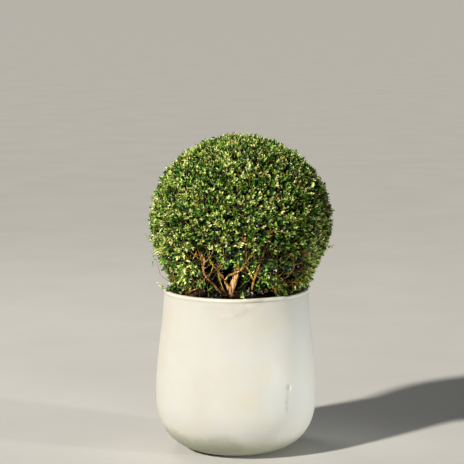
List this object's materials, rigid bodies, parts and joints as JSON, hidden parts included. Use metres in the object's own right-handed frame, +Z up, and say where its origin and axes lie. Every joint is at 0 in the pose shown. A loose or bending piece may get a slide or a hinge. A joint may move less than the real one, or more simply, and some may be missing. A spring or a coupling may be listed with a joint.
{
  "type": "potted box topiary ball",
  "caption": "Clipped evergreen box ball on a short branching trunk, growing in a round-shouldered off-white garden pot.",
  "frame": {"origin": "middle of the pot's flat underside, on the ground", "axes": "+Z up along the pot's axis; -Y is the front, where the stems show under the leaves; +X to the right seen from the front"},
  "size_m": [0.4061, 0.4006, 0.6889],
  "materials": {
    "pot": "matt off-white lime-washed stone effect",
    "soil": "dark crumbly compost",
    "bark": "pale brown furrowed bark",
    "leaf": "glossy dark green leaves"
  },
  "bodies": {
    "root": {"pot": "pot", "soil": "soil", "trunk": "bark", "bough_left_inner": "bark", "bough_left_front": "bark", "bough_left_slender": "bark", "bough_left_outer": "bark", "bough_crossing": "bark", "bough_right_front": "bark", "bough_right_front_arm": "bark", "bough_right_low": "bark", "bough_right_loop": "bark", "bough_right_outer": "bark", "bough_centre": "bark", "bough_centre_right": "bark", "bough_centre_back": "bark", "bough_back_left": "bark", "bough_back_right": "bark", "bough_back_low": "bark", "foliage_ball": "leaf"}
  },
  "joints": []
}
